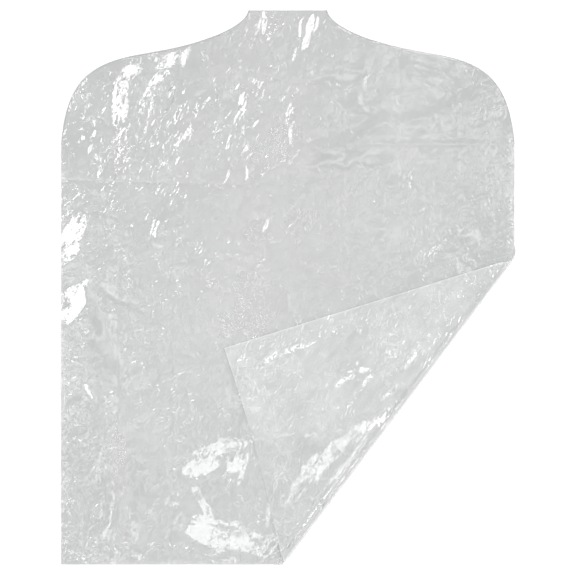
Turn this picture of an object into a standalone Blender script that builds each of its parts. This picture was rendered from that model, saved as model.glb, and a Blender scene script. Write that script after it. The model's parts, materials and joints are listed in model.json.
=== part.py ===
"""Disposable barber cape: a bell-shaped tube of clear film, laid flat with one hem corner turned over.

The tube has a back panel and a front panel.  Its sides are the folds of the tube, and the neck and
the shoulders are cut and welded to the bell curve.  Neck and hem are open.  The film is one sheet,
divided here at the lines where it is folded, so that each part can turn about its fold.

X runs across the cape, Y runs from the hem to the neck, Z is up.  The cape lies on Z = 0.
"""
import math

import bmesh
import bpy
from mathutils import Vector

# Driving dimensions, in metres.
CAPE_WIDTH = 1.143
CAPE_LENGTH = 1.397
NECK_WIDTH = 0.202
SHOULDER_DROP = 0.1045
SHOULDER_INNER = 0.330
SHOULDER_OUTER = 0.385
SHOULDER_SLOPE = 0.18
SIDE_FOLD_START = 0.360
COLLAR_HEIGHT = 0.0585
YOKE_CREASE_Y = 0.270

# The hem corner turns over a straight fold, from the right side to the hem.
FOLD_ON_SIDE_Y = 0.074
FOLD_ON_HEM_X = -0.012
CORNER_TURN = math.pi

# Each film solid stands for a crumpled film with the air that it holds.
FILM_THICKNESS = 0.0010
FILM_PITCH = 0.0035
WELD_WIDTH = 0.0020
GAP = 0.0003

CURVE_STEPS = 12

HALF_WIDTH = CAPE_WIDTH / 2
HALF_LENGTH = CAPE_LENGTH / 2
COLLAR_Y = HALF_LENGTH - COLLAR_HEIGHT
STACK_HEIGHT = FILM_PITCH + FILM_THICKNESS
CORNER_AXIS_Z = (2 * FILM_PITCH + STACK_HEIGHT) / 2
TURN_AXIS_Z = 0.008

# Heights of the two panels' undersides when the cape lies flat.
PANEL_FLOOR = {"back": 0.0, "front": FILM_PITCH}

FILM_COLOURS = {"back": (0.86, 0.87, 0.87), "front": (0.74, 0.75, 0.75)}
WELD_COLOUR = (0.66, 0.67, 0.68)


def clear_scene():
    """Remove what the open file holds."""
    for thing in list(bpy.data.objects):
        bpy.data.objects.remove(thing, do_unlink=True)


def film_material(name, colour, roughness):
    """A clear glossy plastic."""
    material = bpy.data.materials.new(name)
    material.use_nodes = True
    shader = material.node_tree.nodes["Principled BSDF"]
    shader.inputs["Base Color"].default_value = (*colour, 1.0)
    shader.inputs["Roughness"].default_value = roughness
    shader.inputs["Metallic"].default_value = 0.0
    return material


def bezier(start, pull_start, pull_end, end):
    """Points along a cubic curve, both ends included."""
    points = []
    for step in range(CURVE_STEPS + 1):
        t = step / CURVE_STEPS
        s = 1.0 - t
        point = s**3 * start + 3 * s * s * t * pull_start + 3 * s * t * t * pull_end + t**3 * end
        points.append(point)
    return points


def bell_curve():
    """The cut and welded edge on the +X side, from the neck opening down to the side fold."""
    neck_top = Vector((NECK_WIDTH / 2, HALF_LENGTH))
    slope = Vector((1.0, -SHOULDER_SLOPE))
    shoulder_in = Vector((SHOULDER_INNER, HALF_LENGTH - SHOULDER_DROP))
    shoulder_out = shoulder_in + slope * (SHOULDER_OUTER - SHOULDER_INNER)
    side = Vector((HALF_WIDTH, SIDE_FOLD_START))
    neck = bezier(neck_top, neck_top + Vector((0.005, -0.0365)), shoulder_in - slope * 0.140, shoulder_in)
    corner = bezier(shoulder_out, shoulder_out + slope * 0.130, side + Vector((-0.0115, 0.140)), side)
    return neck + corner


def inset(points, distance):
    """The same curve, moved towards the middle of the cape."""
    moved = []
    last = len(points) - 1
    for index, point in enumerate(points):
        run = points[min(index + 1, last)] - points[max(index - 1, 0)]
        run.normalize()
        moved.append(point + Vector((run.y, -run.x)) * distance)
    moved[0].y = HALF_LENGTH
    return moved


def mirrored(points):
    """The outline on the -X side, in the opposite order."""
    return [Vector((-point.x, point.y)) for point in reversed(points)]


def panel_outline():
    """One panel of film, spread flat, inside its welded edges."""
    right = inset(bell_curve(), WELD_WIDTH + GAP)
    right.append(Vector((HALF_WIDTH, SIDE_FOLD_START - GAP)))
    right.append(Vector((HALF_WIDTH, -HALF_LENGTH)))
    return right + mirrored(right)


def weld_outline(side):
    """The bead along one side's bell curve; side is 1 for +X and -1 for -X."""
    curve = bell_curve()
    strip = curve + list(reversed(inset(curve, WELD_WIDTH)))
    if side > 0:
        return strip
    return mirrored(strip)


def keep(points, through, direction):
    """Cut an outline by a line and keep what lies on the direction's side, half a gap clear of it."""
    direction = Vector(direction).normalized()
    edge = direction.dot(Vector(through)) + GAP / 2
    kept = []
    for index, point in enumerate(points):
        before = points[index - 1]
        inside = direction.dot(point) - edge
        inside_before = direction.dot(before) - edge
        if inside * inside_before < 0:
            kept.append(before.lerp(point, inside_before / (inside_before - inside)))
        if inside >= 0:
            kept.append(point)
    return kept


def slab(name, outline, floor, height, material, parent=None):
    """A flat closed solid over an outline, made in the cape's own frame and hung on its parent."""
    work = bmesh.new()
    lower = [work.verts.new((point.x, point.y, floor)) for point in outline]
    base = work.faces.new(lower)
    grown = bmesh.ops.extrude_face_region(work, geom=[base])
    upper = [item for item in grown["geom"] if isinstance(item, bmesh.types.BMVert)]
    bmesh.ops.translate(work, verts=upper, vec=(0.0, 0.0, height))
    bmesh.ops.recalc_face_normals(work, faces=work.faces)
    mesh = bpy.data.meshes.new(name)
    work.to_mesh(mesh)
    work.free()
    mesh.materials.append(material)
    piece = bpy.data.objects.new(name, mesh)
    bpy.context.collection.objects.link(piece)
    if parent is not None:
        mesh.transform(parent["flat_frame"].inverted())
        piece.parent = parent["axis"]
    return piece


def fold_axis(name, place, along, turn=0.0, parent=None):
    """An empty on a fold, its X axis along it, turned by the angle that the fold has at rest."""
    axis = bpy.data.objects.new(name, None)
    bpy.context.collection.objects.link(axis)
    heading = math.atan2(along[1], along[0])
    axis.location = place
    axis.rotation_euler = (0.0, 0.0, heading)
    bpy.context.view_layer.update()
    flat_frame = axis.matrix_world.copy()
    axis.rotation_euler = (turn, 0.0, heading)
    if parent is not None:
        bpy.context.view_layer.update()
        axis.parent = parent["axis"]
        axis.matrix_parent_inverse = parent["axis"].matrix_world.inverted()
    return {"axis": axis, "flat_frame": flat_frame}


def build():
    """Make the panels and the welds, part by part, and hang them on their folds."""
    clear_scene()
    films = {side: film_material(side + "_film", FILM_COLOURS[side], 0.18) for side in PANEL_FLOOR}
    weld = film_material("weld_bead", WELD_COLOUR, 0.30)

    fold_start = Vector((FOLD_ON_HEM_X, -HALF_LENGTH))
    fold_end = Vector((HALF_WIDTH, FOLD_ON_SIDE_Y))
    fold_run = (fold_end - fold_start).normalized()
    body_side = Vector((-fold_run.y, fold_run.x))

    corner = fold_axis("corner_fold_axis", (*fold_start, CORNER_AXIS_Z), fold_run, CORNER_TURN)
    yoke = fold_axis("yoke_fold_axis", (0.0, YOKE_CREASE_Y, TURN_AXIS_Z), (1.0, 0.0))
    collar = fold_axis("collar_fold_axis", (0.0, COLLAR_Y, TURN_AXIS_Z), (1.0, 0.0), parent=yoke)

    up = (0.0, 1.0)
    down = (0.0, -1.0)
    yoke_line = (0.0, YOKE_CREASE_Y)
    collar_line = (0.0, COLLAR_Y)

    sheet = panel_outline()
    skirt = keep(sheet, yoke_line, down)
    zones = {
        "panel": (keep(skirt, fold_start, body_side), None),
        "hem_corner": (keep(skirt, fold_start, -body_side), corner),
        "yoke": (keep(keep(sheet, yoke_line, up), collar_line, down), yoke),
        "collar": (keep(sheet, collar_line, up), collar),
    }
    for zone, (outline, parent) in zones.items():
        for side, floor in PANEL_FLOOR.items():
            slab(side + "_" + zone, outline, floor, FILM_THICKNESS, films[side], parent)

    for name, side in (("left", -1), ("right", 1)):
        bead = weld_outline(side)
        slab("neck_weld_" + name, keep(bead, collar_line, up), 0.0, STACK_HEIGHT, weld, collar)
        slab("shoulder_weld_" + name, keep(bead, collar_line, down), 0.0, STACK_HEIGHT, weld, yoke)


build()
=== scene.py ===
import json
import math

import bmesh
import bpy
import numpy as np
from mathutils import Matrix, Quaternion, Vector
from mathutils.geometry import delaunay_2d_cdt


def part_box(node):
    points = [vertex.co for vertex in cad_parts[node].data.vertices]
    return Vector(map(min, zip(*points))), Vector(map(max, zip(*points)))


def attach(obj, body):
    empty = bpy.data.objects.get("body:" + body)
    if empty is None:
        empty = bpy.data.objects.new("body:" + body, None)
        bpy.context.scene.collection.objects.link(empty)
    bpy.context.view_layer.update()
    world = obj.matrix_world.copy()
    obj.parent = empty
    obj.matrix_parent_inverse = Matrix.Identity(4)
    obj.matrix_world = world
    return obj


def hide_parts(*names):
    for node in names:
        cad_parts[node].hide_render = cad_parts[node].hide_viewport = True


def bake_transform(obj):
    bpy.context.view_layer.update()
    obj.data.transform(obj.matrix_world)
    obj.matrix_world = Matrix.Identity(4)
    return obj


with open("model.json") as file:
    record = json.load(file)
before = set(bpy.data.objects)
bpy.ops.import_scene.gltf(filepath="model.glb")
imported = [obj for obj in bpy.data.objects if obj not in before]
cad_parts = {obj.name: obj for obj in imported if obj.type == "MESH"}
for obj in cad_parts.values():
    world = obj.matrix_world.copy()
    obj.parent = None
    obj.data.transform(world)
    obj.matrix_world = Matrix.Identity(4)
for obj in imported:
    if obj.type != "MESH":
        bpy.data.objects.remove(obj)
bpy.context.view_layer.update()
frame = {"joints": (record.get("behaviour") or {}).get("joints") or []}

bl_info = {
    "name": "Disposable Barber Cape",
    "version": (1, 0, 0),
    "blender": (4, 5, 0),
    "location": "View3D > Sidebar > Cape",
    "description": "Crumpled clear film for a bell-shaped salon cape with a turned-over hem corner",
    "category": "Add Mesh",
}

# ---------------------------------------------------------------- places, read from the frame
PANEL_LOW, PANEL_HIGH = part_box("back_panel")
HALF_WIDTH = -PANEL_LOW[0]
HEM_Y = PANEL_LOW[1]
CREASE_Y = PANEL_HIGH[1]
COLLAR_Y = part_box("back_collar")[0][1]
NECK_WELD_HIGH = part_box("neck_weld_left")[1]
NECK_TOP_Y = NECK_WELD_HIGH[1]
NECK_HALF = -NECK_WELD_HIGH[0]
SIDE_FOLD_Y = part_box("shoulder_weld_left")[0][1]

# The line that the hem corner is turned over at: its foot on the hem, its run and the way inwards.
CORNER_JOINT = next(joint for joint in frame["joints"] if joint["name"] == "corner_fold")
FOLD_FOOT = Vector(CORNER_JOINT["pos_m"]).xy
FOLD_RUN = Vector(CORNER_JOINT["axis"]).xy.normalized()
FOLD_INWARD = Vector((-FOLD_RUN.y, FOLD_RUN.x))
FOLD_LENGTH = (HALF_WIDTH - FOLD_FOOT.x) / FOLD_RUN.x
FOLD_ANGLE = math.atan2(FOLD_RUN.y, FOLD_RUN.x)

# ---------------------------------------------------------------- cut of the film
SHOULDER_INNER = 0.330
SHOULDER_OUTER = 0.385
SHOULDER_DROP = 0.1045
SHOULDER_SLOPE = 0.18
CURVE_STEPS = 48

# How the ends of the two welded curves pull: at the neck, the shoulder's two ends and the side.
NECK_PULL = (0.005, -0.0365)
SHOULDER_PULL_IN = 0.140
SHOULDER_PULL_OUT = 0.130
SIDE_PULL = (-0.0115, 0.140)

# Half the width of the band that bends at a straight fold, and where the neighbouring film begins.
BEND_HALF = 0.006
JOIN_MARGIN = 0.012
SKIRT_TOP_Y = CREASE_Y - JOIN_MARGIN
COLLAR_JOIN_Y = COLLAR_Y - JOIN_MARGIN

# The rolled fold of the turned corner: its width, how far inside the fold each film turns, how far
# it swells and sags, and the heights between which it goes from one body to the other.
ROLL_BAND = 0.020
ROLL_NOSE = {"front": 0.0030, "back": 0.0}
ROLL_SWELL = 0.0040
ROLL_SAG = 0.0016
ROLL_ROWS = 33

# How much the crumpled corner has drawn in, and how its two free edges have moved.
CORNER_DRAW_IN = 0.961
CORNER_SIDE_SHIFT = -0.006
HEM_EDGE_BOW = 0.012

# Heights of the film layers above the surface.
LIFT = 0.0004
FILM_GAP = 0.0006
BODY_CEILING = 0.0052
UNDER_CORNER_CEILING = 0.0032
GAP_CEILING = 0.0012
OPEN_GAP_CEILING = 0.0018
CORNER_FLOOR = 0.0066
CORNER_CEILING = 0.0024
CORNER_GAP_CEILING = 0.0015

# Packing folds the cape into eight strips.
STRIP_WIDTH = HALF_WIDTH / 4

# The height fields are kept on a regular grid.
FIELD_STEP = 0.0025
FIELD_HALF = (0.600, 0.730)

# Mesh spacing of the yoke and the collar, over that of the skirt, and of columns over rows.
YOKE_SPACING = 0.85
COLLAR_SPACING = 0.5
COLLAR_COLUMN_SPACING = 1.2

# The stage: how far the floor reaches, the camera's place and the width that it frames.
FLOOR_REACH = 7.0
CAMERA_PLACE = (0.0005, -0.0018, 12.0)
FRAME_WIDTH = 1.4527
SENSOR_WIDTH = 36.0

# The weld beads: how far apart the points along them lie, and how uneven they are.
BEAD_SPACING = 0.004
BEAD_UNEVENNESS = 0.30

# Soft boxes: place, width and length, radiance, spin. Patches of film are turned towards them.
LIGHTS = {
    "key": ((-1.70, 1.10, 3.00), (1.00, 1.00), 8.0, 0),
    "low": ((-0.60, -1.70, 3.00), (1.00, 1.00), 4.6, 0),
    "east": ((2.60, 0.60, 2.60), (1.90, 1.90), 4.0, 0),
    "south": ((1.30, -2.30, 2.60), (1.60, 1.90), 4.0, 0),
    "west": ((-2.50, -0.70, 2.60), (1.60, 1.90), 4.0, 0),
    "north": ((0.90, 2.50, 2.60), (1.90, 1.60), 4.0, 0),
    "near_east": ((1.40, 0.35, 3.20), (0.40, 1.40), 3.0, 0),
    "near_west": ((-1.15, -0.30, 3.20), (0.35, 1.30), 3.0, 0),
    "strip_high": ((0.25, 0.45, 3.30), (0.24, 1.10), 2.0, -40),
    "strip_low": ((-0.20, -0.55, 3.30), (0.22, 1.20), 2.0, 35),
}


# ================================================================ settings
class CapeShape(bpy.types.PropertyGroup):
    """Sizes of the crumples, the mesh and the weld bead."""
    mesh_step: bpy.props.FloatProperty(
        name="Mesh step", description="Spacing of the film's mesh",
        default=0.0042, min=0.002, unit="LENGTH")
    swell_height: bpy.props.FloatProperty(
        name="Swell height", description="Height of the broad waves in the film",
        default=0.0030, unit="LENGTH")
    facet_height: bpy.props.FloatProperty(
        name="Facet height", description="Height of the creased facets",
        default=0.0029, unit="LENGTH")
    crease_height: bpy.props.FloatProperty(
        name="Packing crease height", description="Height of the creases left by packing",
        default=0.0009, unit="LENGTH")
    bead_radius: bpy.props.FloatProperty(
        name="Weld bead radius", description="Radius of the welded edge",
        default=0.0009, unit="LENGTH")
    seed: bpy.props.IntProperty(
        name="Seed", description="Seed of the crumples", default=11)


class FilmLook(bpy.types.PropertyGroup):
    """Colours and finish of the film and of the stage."""
    # Both walls are the same film. The back wall is given a lighter colour than the front so the turned
    # corner, where it lies on top, looks lighter: painted light of the stacked films.
    front_colour: bpy.props.FloatVectorProperty(
        name="Front film", description="Colour of the front wall of film",
        subtype="COLOR", size=3, default=(0.490, 0.495, 0.495))
    back_colour: bpy.props.FloatVectorProperty(
        name="Back film", description="Colour of the back wall of film",
        subtype="COLOR", size=3, default=(0.865, 0.873, 0.873))
    bead_colour: bpy.props.FloatVectorProperty(
        name="Weld bead", description="Colour of the fused edge",
        subtype="COLOR", size=3, default=(0.50, 0.51, 0.51))
    front_alpha: bpy.props.FloatProperty(
        name="Front haze", description="How much the front film hides", default=0.57)
    back_alpha: bpy.props.FloatProperty(
        name="Back haze", description="How much the back film hides", default=0.50)
    roughness: bpy.props.FloatProperty(
        name="Roughness", description="Roughness of the film's gloss", default=0.11)
    gloss_ior: bpy.props.FloatProperty(
        name="Gloss", description="Index that sets the strength of the film's reflection", default=2.1)
    floor_colour: bpy.props.FloatVectorProperty(
        name="Floor", description="Colour of the floor",
        subtype="COLOR", size=3, default=(0.90, 0.90, 0.90))
    sky_strength: bpy.props.FloatProperty(
        name="Surround", description="Brightness of the pale surround", default=0.30)


def shape():
    """The size settings of the scene in hand."""
    return bpy.context.scene.cape_shape


def look():
    """The colour settings of the scene in hand."""
    return bpy.context.scene.film_look


# ================================================================ height fields
FIELD_X = np.arange(-FIELD_HALF[0], FIELD_HALF[0] + FIELD_STEP / 2, FIELD_STEP)
FIELD_Y = np.arange(-FIELD_HALF[1], FIELD_HALF[1] + FIELD_STEP / 2, FIELD_STEP)
GX, GY = np.meshgrid(FIELD_X, FIELD_Y)


def smooth_ramp(value, low, high):
    """0 below low, 1 above high, with a smooth step between."""
    t = np.clip((value - low) / (high - low), 0.0, 1.0)
    return t * t * (3.0 - 2.0 * t)


def sample(field, x, y):
    """A field's values at points, between the grid's own."""
    column = np.clip((np.asarray(x) - FIELD_X[0]) / FIELD_STEP, 0, len(FIELD_X) - 1.001)
    row = np.clip((np.asarray(y) - FIELD_Y[0]) / FIELD_STEP, 0, len(FIELD_Y) - 1.001)
    i = column.astype(int)
    j = row.astype(int)
    u = column - i
    v = row - j
    upper = field[j, i] * (1 - u) + field[j, i + 1] * u
    lower = field[j + 1, i] * (1 - u) + field[j + 1, i + 1] * u
    return upper * (1 - v) + lower * v


def waves(size, rng, angle=0.0, stretch=1.0, at=None):
    """Smooth random noise, from -1 to 1, on cells of a given size, drawn out along an angle."""
    x, y = at if at is not None else (GX, GY)
    along = (x * math.cos(angle) + y * math.sin(angle)) / (size * stretch)
    across = (-x * math.sin(angle) + y * math.cos(angle)) / size
    table = rng.uniform(-1.0, 1.0, (64, 64))
    i = np.floor(along).astype(int)
    j = np.floor(across).astype(int)
    u = along - i
    v = across - j
    u = u * u * u * (u * (6 * u - 15) + 10)
    v = v * v * v * (v * (6 * v - 15) + 10)
    near = table[i % 64, j % 64] * (1 - u) + table[(i + 1) % 64, j % 64] * u
    far = table[i % 64, (j + 1) % 64] * (1 - u) + table[(i + 1) % 64, (j + 1) % 64] * u
    return near * (1 - v) + far * v


def facets(size, rng, angle=0.0, stretch=1.0):
    """A surface of flat triangles with sharp creases between them, from -1 to 1."""
    reach = 1.15 * max(FIELD_HALF)
    turn = np.array([[math.cos(angle), -math.sin(angle)], [math.sin(angle), math.cos(angle)]])
    rows = int(2 * reach / size)
    columns = int(2 * reach / (size * stretch))
    grid = [((i + 0.5) * size * stretch - reach, (j + 0.5) * size - reach)
            for i in range(columns) for j in range(rows)]
    points = np.array(grid)
    points += rng.uniform(-0.42, 0.42, points.shape) * (size * stretch, size)
    points = points @ turn.T
    heights = rng.uniform(-1.0, 1.0, len(points))
    triangles = delaunay_2d_cdt([Vector(p) for p in points], [], [], 0, 1e-7)[2]
    field = np.zeros_like(GX)
    for triangle in triangles:
        corners = points[list(triangle)]
        low = corners.min(axis=0)
        high = corners.max(axis=0)
        i0 = max(0, int((low[0] - FIELD_X[0]) / FIELD_STEP))
        i1 = min(len(FIELD_X), int((high[0] - FIELD_X[0]) / FIELD_STEP) + 2)
        j0 = max(0, int((low[1] - FIELD_Y[0]) / FIELD_STEP))
        j1 = min(len(FIELD_Y), int((high[1] - FIELD_Y[0]) / FIELD_STEP) + 2)
        if i0 >= i1 or j0 >= j1:
            continue
        (ax, ay), (bx, by), (cx, cy) = corners
        area = (bx - ax) * (cy - ay) - (cx - ax) * (by - ay)
        if abs(area) < 1e-12:
            continue
        x = GX[j0:j1, i0:i1]
        y = GY[j0:j1, i0:i1]
        wb = ((x - ax) * (cy - ay) - (cx - ax) * (y - ay)) / area
        wc = ((bx - ax) * (y - ay) - (x - ax) * (by - ay)) / area
        wa = 1.0 - wb - wc
        inside = (wa >= -1e-6) & (wb >= -1e-6) & (wc >= -1e-6)
        ha, hb, hc = heights[list(triangle)]
        patch = field[j0:j1, i0:i1]
        patch[inside] = (wa * ha + wb * hb + wc * hc)[inside]
    return field


def window(x, y, half_long, half_short, angle, sharpness=2.6, soft=0.55, bend=0.006):
    """1 in the middle of a rounded patch and 0 outside it, and how far across it each point lies."""
    c = math.cos(math.radians(angle))
    s = math.sin(math.radians(angle))
    wobble = shared("wobble", lambda: [waves(0.035, np.random.default_rng(n)) for n in (1, 2)])
    x = x + bend * wobble[0]
    y = y + bend * wobble[1]
    along = (GX - x) * c + (GY - y) * s
    across = -(GX - x) * s + (GY - y) * c
    reach = np.abs(along / half_long) ** sharpness + np.abs(across / half_short) ** sharpness
    return smooth_ramp(1.0 - reach, 0.0, soft), across


def tilt_towards(light, x, y):
    """How far film's normal at (x, y) leans when it throws a light straight up."""
    to_light = (Vector(LIGHTS[light][0]) - Vector((x, y, 0.0))).normalized()
    half = to_light + Vector((0.0, 0.0, 1.0))
    return half.x / half.z, half.y / half.z


def turned_patches(patches, rng):
    """The lean of the film's small facets over ragged, streaky patches turned to a light."""
    lean = [np.zeros_like(GX), np.zeros_like(GX)]
    cover = np.zeros_like(GX)
    share = 1.0 + 0.35 * waves(0.012, rng, math.radians(75), 2.5)
    for x, y, half_long, half_short, angle, light, raggedness in patches:
        mask = window(x, y, half_long, half_short, angle, 2.0, soft=0.9)[0]
        if raggedness:
            streaks = 1.2 * waves(0.006, rng, math.radians(angle), 7.0) + 0.6 * waves(0.016, rng)
            mask = mask * (1.0 + 1.3 * raggedness * streaks)
        mask = smooth_ramp(mask, 0.30, 0.60)
        lean_x, lean_y = tilt_towards(light, x, y)
        lean[0] = np.where(mask > cover, lean_x * share, lean[0])
        lean[1] = np.where(mask > cover, lean_y * share, lean[1])
        cover = np.maximum(cover, mask)
    return lean[0] * cover, lean[1] * cover, cover


# Patches that catch a soft box: x, y, half length, half width, angle, light, raggedness.
BODY_PATCHES = [
    (-0.422, 0.478, 0.100, 0.026, 84, "key", 0.30),
    (-0.402, 0.548, 0.036, 0.018, 10, "key", 0.30),
    (-0.340, 0.594, 0.026, 0.012, 62, "key", 0.5),
    (-0.300, 0.575, 0.048, 0.017, 35, "key", 0.6),
    (-0.262, 0.588, 0.034, 0.016, 78, "key", 0.6),
    (-0.330, 0.515, 0.056, 0.022, 50, "key", 0.9),
    (-0.062, 0.668, 0.036, 0.010, 82, "key", 0.5),
    (0.053, 0.645, 0.062, 0.011, 80, "key", 0.5),
    (0.036, 0.612, 0.032, 0.010, 78, "key", 0.6),
    (-0.078, 0.660, 0.030, 0.005, 76, "key", 0.0),
    (0.032, 0.650, 0.050, 0.005, 78, "key", 0.0),
    (0.070, 0.660, 0.032, 0.005, 80, "key", 0.0),
    (0.018, 0.585, 0.026, 0.005, 76, "key", 0.0),
    (-0.538, 0.140, 0.070, 0.034, 62, "key", 0.25),
    (-0.550, 0.095, 0.040, 0.026, 20, "key", 0.3),
    (-0.541, -0.040, 0.066, 0.036, 68, "key", 0.22),
    (-0.520, 0.008, 0.030, 0.012, 35, "key", 0.6),
    (-0.510, -0.240, 0.055, 0.008, -70, "key", 0.8),
    (-0.224, -0.440, 0.070, 0.044, 35, "low", 0.60),
    (-0.160, -0.405, 0.070, 0.026, 10, "low", 0.45),
    (-0.128, -0.452, 0.062, 0.034, 70, "low", 0.70),
    (-0.166, -0.622, 0.122, 0.054, -10, "low", 0.45),
    (-0.105, -0.655, 0.060, 0.024, -20, "low", 0.7),
    (-0.026, -0.479, 0.042, 0.022, 65, "low", 0.6),
    (-0.015, -0.572, 0.034, 0.012, 8, "low", 0.6),
    (-0.047, -0.650, 0.046, 0.020, 70, "low", 0.6),
    (-0.052, -0.576, 0.046, 0.010, 85, "low", 0.7),
    (-0.215, -0.540, 0.075, 0.012, -60, "low", 0.8),
]

CORNER_PATCHES = [
    (-0.052, -0.183, 0.044, 0.011, 40, "key", 0.3),
    (0.024, -0.150, 0.060, 0.011, 14, "key", 0.3),
    (0.140, -0.240, 0.040, 0.012, 30, "key", 0.8),
    (0.172, -0.212, 0.036, 0.011, 20, "key", 0.8),
    (0.200, -0.232, 0.034, 0.011, 50, "key", 0.8),
    (0.257, -0.167, 0.017, 0.013, 0, "key", 0.4),
    (-0.030, -0.172, 0.030, 0.006, 20, "key", 0.0),
    (-0.058, -0.190, 0.018, 0.006, 50, "key", 0.0),
    (0.308, -0.183, 0.055, 0.011, 54, "key", 0.7),
    (0.235, -0.330, 0.060, 0.013, 52, "key", 0.7),
    (0.262, -0.262, 0.045, 0.007, 50, "key", 0.0),
    (0.190, -0.205, 0.022, 0.006, 25, "key", 0.0),
    (0.160, -0.377, 0.080, 0.016, 36, "low", 0.9),
    (0.110, -0.420, 0.075, 0.020, 44, "low", 0.9),
    (0.060, -0.455, 0.075, 0.024, 46, "low", 0.9),
    (0.025, -0.505, 0.060, 0.022, 52, "low", 0.9),
    (0.150, -0.440, 0.120, 0.006, 52, "low", 0.3),
    (0.130, -0.392, 0.075, 0.006, 40, "low", 0.0),
    (0.085, -0.425, 0.060, 0.005, 45, "low", 0.0),
    (0.195, -0.365, 0.055, 0.005, 48, "low", 0.0),
    (0.085, -0.465, 0.050, 0.008, 50, "low", 0.6),
]

# Lines along which short streaks lie: start x, y, end x, y, number, how far they stray.
STREAK_LINES = [
    (-0.290, 0.515, -0.268, 0.364, 8, 0.004),
    (-0.425, 0.400, -0.405, 0.285, 4, 0.010),
    (-0.355, 0.470, -0.335, 0.380, 5, 0.010),
    (-0.128, 0.510, -0.104, 0.290, 10, 0.006),
    (-0.008, 0.495, 0.016, 0.325, 10, 0.004),
    (-0.540, 0.430, -0.160, 0.330, 12, 0.060),
    (-0.480, 0.500, -0.200, 0.480, 5, 0.030),
    (-0.200, 0.420, 0.010, 0.380, 6, 0.040),
    (0.304, 0.260, 0.325, 0.325, 3, 0.003),
    (0.335, 0.060, 0.372, 0.100, 3, 0.004),
    (-0.062, 0.140, -0.052, 0.180, 2, 0.002),
    (-0.360, 0.240, -0.330, 0.130, 5, 0.020),
]

# Film pulled into long parallel folds: x, y, half length, half width, angle, spacing, lean.
PULLED_BANDS = [
    (-0.480, -0.500, 0.230, 0.090, 88, 0.018, 0.145),
    (-0.420, -0.560, 0.200, 0.060, 84, 0.010, 0.150),
    (-0.520, 0.030, 0.090, 0.036, 8, 0.008, 0.140),
    (-0.050, 0.640, 0.090, 0.045, 84, 0.009, 0.120),
    (0.060, 0.600, 0.120, 0.040, 80, 0.009, 0.130),
    (0.340, 0.080, 0.200, 0.070, 38, 0.018, 0.150),
    (0.240, 0.500, 0.140, 0.080, 62, 0.024, 0.090),
    (0.120, 0.420, 0.150, 0.110, 20, 0.024, 0.150),
    (-0.370, 0.470, 0.160, 0.090, 66, 0.014, 0.100),
    (-0.210, -0.530, 0.130, 0.100, 40, 0.014, 0.120),
]

# Chains of short glints: x, y, half length, half width, angle, strength.
GLINT_CHAINS = [
    (-0.277, 0.402, 0.060, 0.020, 80, 0.9),
    (-0.114, 0.395, 0.130, 0.022, 80, 1.15),
    (0.006, 0.410, 0.110, 0.018, 78, 1.15),
    (-0.330, 0.480, 0.090, 0.050, 60, 0.8),
    (-0.450, 0.300, 0.060, 0.060, 60, 0.7),
    (-0.500, -0.238, 0.060, 0.012, -70, 1.0),
    (0.300, 0.290, 0.050, 0.012, 65, 0.8),
    (0.350, 0.075, 0.055, 0.016, 60, 0.7),
    (-0.060, 0.060, 0.050, 0.016, 62, 0.6),
    (-0.180, 0.100, 0.090, 0.070, 50, 0.5),
    (-0.180, -0.330, 0.140, 0.060, 10, 0.35),
]

# Smooth hollows without fine crinkles: x, y, half length, half width, angle, depth.
HOLLOWS = [
    (-0.462, -0.135, 0.150, 0.044, 112, 0.0021),
    (-0.420, -0.020, 0.085, 0.018, -38, 0.0020),
    (0.135, 0.535, 0.090, 0.022, 14, 0.0016),
    (0.135, 0.330, 0.110, 0.026, -6, 0.0020),
    (0.170, 0.460, 0.070, 0.020, -20, 0.0014),
    (-0.240, 0.590, 0.060, 0.030, -70, 0.0014),
    (-0.030, -0.030, 0.060, 0.060, 0, 0.0008),
]


def scattered_streaks(rng):
    """Short streaks strewn along lines, all leaning much the same way."""
    found = []
    for x0, y0, x1, y1, count, stray in STREAK_LINES:
        for share in rng.uniform(0.0, 1.0, count):
            found.append((x0 + (x1 - x0) * share + rng.normal(0.0, stray),
                          y0 + (y1 - y0) * share + rng.normal(0.0, stray),
                          rng.uniform(0.014, 0.032), rng.uniform(0.0034, 0.0048),
                          rng.uniform(58.0, 84.0), "key", 0.0))
    return found


def packing_creases(rng):
    """The grid of creases that eight strips and four rows of packing leave."""
    depth = shape().crease_height
    field = np.zeros_like(GX)
    for number in range(-3, 4):
        lean = rng.uniform(-0.010, 0.010)
        place = number * STRIP_WIDTH + lean * GY + 0.0012 * waves(0.090, rng)
        side = 1.0 if number % 2 else -1.0
        field += side * depth * np.exp(-np.abs(GX - place) / 0.006)
    yoke_crease = CREASE_Y - 0.014 * (GX + HALF_WIDTH) / HALF_WIDTH
    for height, side, x0, x1 in ((yoke_crease, -1.0, -0.6, 0.05), (0.361, 1.0, 0.20, 0.6),
                                 (-0.176, -1.0, -0.6, -0.36)):
        reach = smooth_ramp(GX, x0 - 0.04, x0) * (1.0 - smooth_ramp(GX, x1, x1 + 0.10))
        place = height + 0.0010 * waves(0.080, rng)
        field += side * 1.2 * depth * reach * np.exp(-np.abs(GY - place) / 0.006)
    return field


def fold_distance():
    """How far inwards of the turned corner's fold each point lies."""
    return (GX - FOLD_FOOT.x) * FOLD_INWARD.x + (GY - FOLD_FOOT.y) * FOLD_INWARD.y


def fold_reach():
    """How far along the turned corner's fold, from its foot on the hem, each point lies."""
    return (GX - FOLD_FOOT.x) * FOLD_RUN.x + (GY - FOLD_FOOT.y) * FOLD_RUN.y


def settle(height, ceiling):
    """Film that can't go below the surface, nor stand above a ceiling, with soft limits."""
    ratio = height / ceiling
    low = np.logaddexp(0.0, ratio * 6.0) / 6.0
    return ceiling * (1.0 - np.logaddexp(0.0, (1.0 - low) * 6.0) / 6.0)


def swirl_zone():
    """1 at the upper right, where the film lies in smooth swirls."""
    zone = smooth_ramp(GX, -0.02, 0.10) * smooth_ramp(GY, 0.22, 0.40)
    return zone * (1.0 - 0.8 * smooth_ramp(GX, 0.34, 0.50))


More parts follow.
